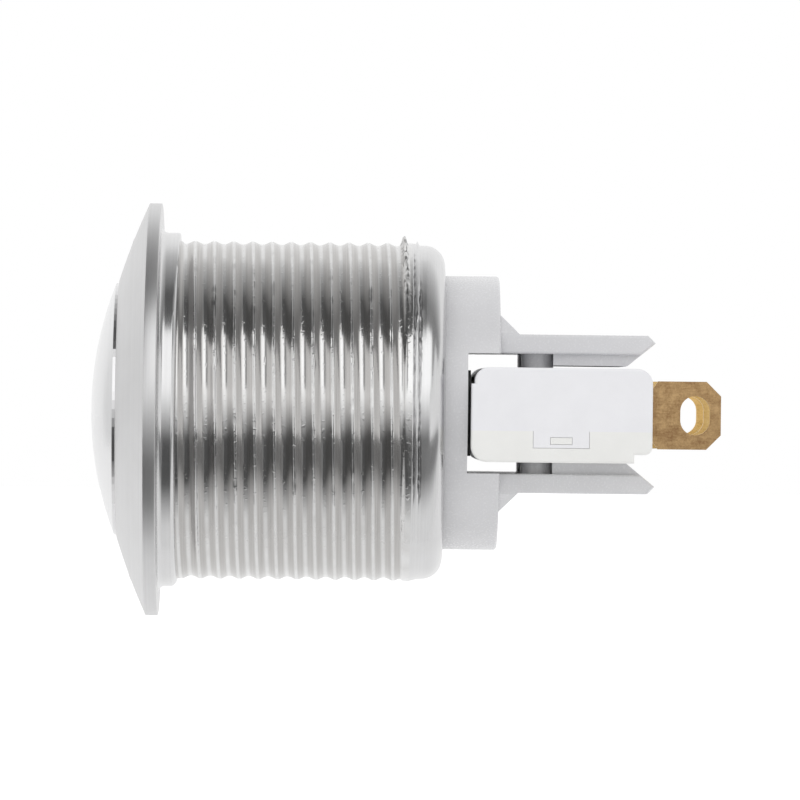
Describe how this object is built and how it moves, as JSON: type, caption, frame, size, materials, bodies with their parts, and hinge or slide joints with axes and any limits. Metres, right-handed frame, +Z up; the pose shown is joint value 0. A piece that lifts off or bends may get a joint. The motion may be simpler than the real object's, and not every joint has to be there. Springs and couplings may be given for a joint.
{
  "type": "pushbutton switch",
  "caption": "Panel pushbutton: domed button in a threaded metal bush with a flange, and a snap-action switch with solder lugs clipped into a moulded holder behind it.",
  "frame": {"origin": "on the axis of the bush where its thread starts, in the plane in which the panel seats on the collar", "axes": "+Y runs along the bush from the button to the solder lugs, +X along the length of the switch, +Z up"},
  "size_m": [0.0268, 0.0405, 0.0268],
  "materials": {
    "turned_steel": "polished",
    "seal_rubber": "matt",
    "pusher_plastic": "moulded",
    "spring_steel": "drawn wire",
    "holder_plastic": "moulded",
    "case_plastic": "moulded",
    "cover_plastic": "moulded",
    "lug_brass": "aged",
    "blade_bronze": "rolled strip",
    "contact_silver": "plain"
  },
  "bodies": {
    "fixed": {"bush": "turned_steel", "holder": "holder_plastic", "return_spring": "spring_steel", "switch_gasket": "seal_rubber", "switch_case": "case_plastic", "switch_cover": "cover_plastic", "common_terminal": "lug_brass", "normally_open_terminal": "lug_brass", "normally_closed_terminal": "lug_brass", "normally_open_contact": "contact_silver", "normally_closed_contact": "contact_silver"},
    "pressed": {"button": "turned_steel", "button_o_ring": "seal_rubber", "pusher": "pusher_plastic"},
    "plunger": {"switch_plunger": "pusher_plastic"},
    "blade": {"snap_blade": "blade_bronze", "moving_contact": "contact_silver"}
  },
  "joints": [
    {"name": "button_press", "type": "slide", "parent": "fixed", "child": "pressed", "axis": [0, 1, 0], "range_m": [0, 0.001], "stiffness_N_per_m": 1500, "springref_m": -0.0015, "deforming": ["return_spring"]},
    {"name": "plunger_press", "type": "slide", "parent": "fixed", "child": "plunger", "axis": [0, 1, 0], "range_m": [0, 0.001]},
    {"name": "blade_snap", "type": "hinge", "parent": "fixed", "child": "blade", "pos_m": [-0.0076, 0.0267, 0], "axis": [0, 0, 1], "range_deg": [0, 2.4], "deforming": ["snap_blade"]}
  ],
  "couplings": [
    {"joint": "plunger_press", "follows": "button_press", "ratio": 1},
    {"joint": "blade_snap", "follows": "button_press", "rad_per_m": 41.667}
  ]
}
